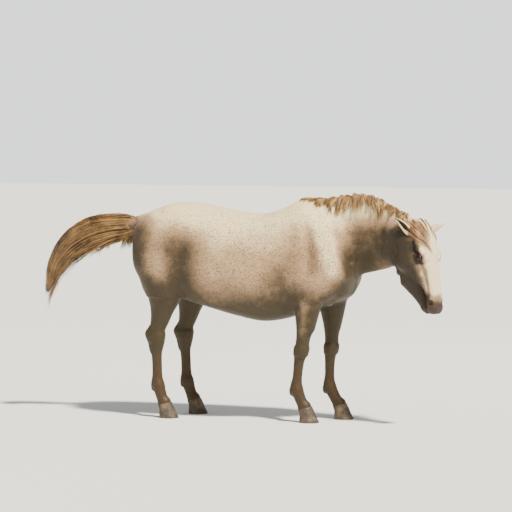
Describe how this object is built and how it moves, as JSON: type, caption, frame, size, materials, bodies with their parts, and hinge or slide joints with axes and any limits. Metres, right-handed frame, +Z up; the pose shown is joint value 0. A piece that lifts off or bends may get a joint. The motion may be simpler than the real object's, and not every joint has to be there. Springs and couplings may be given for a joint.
{
  "type": "mechanical riding horse",
  "caption": "Life-size walking ride figure of a grey horse: hollow hide over a steel frame, with hinged legs, neck, head, jaw, ears, eyelids and tail.",
  "frame": {"origin": "middle of the whole figure's box, on the floor under the hooves", "axes": "+X to where the figure faces, +Y to the figure's left, +Z up"},
  "size_m": [2.8868, 0.6508, 1.524],
  "materials": {
    "body_hide": "short flea-bitten grey coat over a 6 mm hide shell",
    "face_hide": "short pale coat, pinkish grey skin at the muzzle",
    "leg_hide": "short coat, shaded brown towards the feet",
    "hair": "straw blond hair",
    "hoof": "dark horn-coloured rubber",
    "eye": "polished dark brown",
    "bright_steel": "turned",
    "frame_steel": "powder coated",
    "battery_case": "moulded",
    "box_case": "moulded",
    "actuator_case": "anodised"
  },
  "bodies": {
    "trunk": {"trunk_shell_right": "body_hide", "trunk_shell_left": "body_hide", "spine_beam": "frame_steel", "fore_frame": "frame_steel", "hind_frame": "frame_steel", "frame_pins": "bright_steel", "machine_tray": "frame_steel", "battery": "battery_case", "control_box": "box_case", "belly_hatch": "body_hide", "hatch_screws": "bright_steel", "leg_actuators": "actuator_case"},
    "neck_lower": {"neck_lower_shell": "body_hide", "neck_lower_bone": "frame_steel"},
    "neck_upper": {"neck_upper_shell": "body_hide", "neck_upper_bone": "frame_steel", "neck_turn_pin": "bright_steel", "mane": "hair"},
    "head": {"head_shell": "face_hide", "head_bone": "frame_steel", "head_pins": "bright_steel", "eye_right": "eye", "eye_left": "eye", "forelock": "hair"},
    "jaw": {"lower_jaw": "face_hide"},
    "ear_right": {"ear_right": "face_hide"},
    "ear_left": {"ear_left": "face_hide"},
    "eyelid_right": {"eyelid_right": "face_hide"},
    "eyelid_left": {"eyelid_left": "face_hide"},
    "tail_yoke": {"tail_yoke": "frame_steel"},
    "tail": {"tail_dock": "leg_hide", "tail_hair": "hair"},
    "foreleg_right": {"forearm_shell_right": "leg_hide", "forearm_bone_right": "frame_steel"},
    "fore_cannon_right": {"fore_cannon_shell_right": "leg_hide", "fore_cannon_bone_right": "frame_steel", "fore_pins_right": "bright_steel"},
    "fore_foot_right": {"fore_pastern_right": "leg_hide", "fore_hoof_right": "hoof"},
    "foreleg_left": {"forearm_shell_left": "leg_hide", "forearm_bone_left": "frame_steel"},
    "fore_cannon_left": {"fore_cannon_shell_left": "leg_hide", "fore_cannon_bone_left": "frame_steel", "fore_pins_left": "bright_steel"},
    "fore_foot_left": {"fore_pastern_left": "leg_hide", "fore_hoof_left": "hoof"},
    "hindleg_right": {"gaskin_shell_right": "leg_hide", "gaskin_bone_right": "frame_steel"},
    "hind_cannon_right": {"hind_cannon_shell_right": "leg_hide", "hind_cannon_bone_right": "frame_steel", "hind_pins_right": "bright_steel"},
    "hind_foot_right": {"hind_pastern_right": "leg_hide", "hind_hoof_right": "hoof"},
    "hindleg_left": {"gaskin_shell_left": "leg_hide", "gaskin_bone_left": "frame_steel"},
    "hind_cannon_left": {"hind_cannon_shell_left": "leg_hide", "hind_cannon_bone_left": "frame_steel", "hind_pins_left": "bright_steel"},
    "hind_foot_left": {"hind_pastern_left": "leg_hide", "hind_hoof_left": "hoof"}
  },
  "joints": [
    {"name": "neck_lift", "type": "hinge", "parent": "trunk", "child": "neck_lower", "pos_m": [0.559, 0, 1.21], "axis": [0, 1, 0], "range_deg": [-20, 12]},
    {"name": "neck_turn", "type": "hinge", "parent": "neck_lower", "child": "neck_upper", "pos_m": [0.909, -0.035, 1.245], "axis": [0, 0, 1], "range_deg": [-20, 30]},
    {"name": "head_nod", "type": "hinge", "parent": "neck_upper", "child": "head", "pos_m": [1.229, -0.16, 1.25], "axis": [0.5, 0.866, 0], "range_deg": [-30, 2]},
    {"name": "jaw_open", "type": "hinge", "parent": "head", "child": "jaw", "pos_m": [1.25497, -0.175, 1.17433], "axis": [0.5, 0.866, 0], "range_deg": [0, 12]},
    {"name": "ear_right_turn", "type": "hinge", "parent": "head", "child": "ear_right", "pos_m": [1.21795, -0.25488, 1.31723], "axis": [-0.3559, -0.2684, 0.8952], "range_deg": [-40, 40]},
    {"name": "ear_left_turn", "type": "hinge", "parent": "head", "child": "ear_left", "pos_m": [1.31821, -0.08747, 1.30116], "axis": [0.3162, 0.7656, 0.5603], "range_deg": [-40, 40]},
    {"name": "eyelid_right_blink", "type": "hinge", "parent": "head", "child": "eyelid_right", "pos_m": [1.30802, -0.30031, 1.12923], "axis": [0.1652, -0.0954, -0.9816], "range_deg": [0, 50]},
    {"name": "eyelid_left_blink", "type": "hinge", "parent": "head", "child": "eyelid_left", "pos_m": [1.39002, -0.15828, 1.12923], "axis": [-0.1652, 0.0954, 0.9816], "range_deg": [0, 50]},
    {"name": "tail_lift", "type": "hinge", "parent": "trunk", "child": "tail_yoke", "pos_m": [-0.723, 0, 1.308], "axis": [0, 1, 0], "range_deg": [-36, 10]},
    {"name": "tail_swing", "type": "hinge", "parent": "tail_yoke", "child": "tail", "pos_m": [-0.793, 0, 1.31], "axis": [0, 0, 1], "range_deg": [-25, 25]},
    {"name": "foreleg_right_swing", "type": "hinge", "parent": "trunk", "child": "foreleg_right", "pos_m": [0.499, -0.135, 0.8], "axis": [0, 1, 0], "range_deg": [-18, 12]},
    {"name": "knee_right_flex", "type": "hinge", "parent": "foreleg_right", "child": "fore_cannon_right", "pos_m": [0.44894, -0.135, 0.48394], "axis": [0, 1, 0], "range_deg": [0, 60]},
    {"name": "fore_fetlock_right_flex", "type": "hinge", "parent": "fore_cannon_right", "child": "fore_foot_right", "pos_m": [0.42072, -0.135, 0.21542], "axis": [0, 1, 0], "range_deg": [-25, 25]},
    {"name": "foreleg_left_swing", "type": "hinge", "parent": "trunk", "child": "foreleg_left", "pos_m": [0.589, 0.135, 0.8], "axis": [0, 1, 0], "range_deg": [-18, 12]},
    {"name": "knee_left_flex", "type": "hinge", "parent": "foreleg_left", "child": "fore_cannon_left", "pos_m": [0.57783, 0.135, 0.48019], "axis": [0, 1, 0], "range_deg": [0, 60]},
    {"name": "fore_fetlock_left_flex", "type": "hinge", "parent": "fore_cannon_left", "child": "fore_foot_left", "pos_m": [0.57312, 0.135, 0.21024], "axis": [0, 1, 0], "range_deg": [-25, 25]},
    {"name": "hindleg_right_swing", "type": "hinge", "parent": "trunk", "child": "hindleg_right", "pos_m": [-0.511, -0.155, 0.842], "axis": [0, 1, 0], "range_deg": [-18, 12]},
    {"name": "hock_right_flex", "type": "hinge", "parent": "hindleg_right", "child": "hind_cannon_right", "pos_m": [-0.56344, -0.155, 0.54459], "axis": [0, 1, 0], "range_deg": [-35, 0]},
    {"name": "hind_fetlock_right_flex", "type": "hinge", "parent": "hind_cannon_right", "child": "hind_foot_right", "pos_m": [-0.55777, -0.155, 0.21964], "axis": [0, 1, 0], "range_deg": [-25, 25]},
    {"name": "hindleg_left_swing", "type": "hinge", "parent": "trunk", "child": "hindleg_left", "pos_m": [-0.421, 0.155, 0.842], "axis": [0, 1, 0], "range_deg": [-18, 12]},
    {"name": "hock_left_flex", "type": "hinge", "parent": "hindleg_left", "child": "hind_cannon_left", "pos_m": [-0.46824, 0.155, 0.54372], "axis": [0, 1, 0], "range_deg": [-35, 0]},
    {"name": "hind_fetlock_left_flex", "type": "hinge", "parent": "hind_cannon_left", "child": "hind_foot_left", "pos_m": [-0.4569, 0.155, 0.21892], "axis": [0, 1, 0], "range_deg": [-25, 25]}
  ]
}
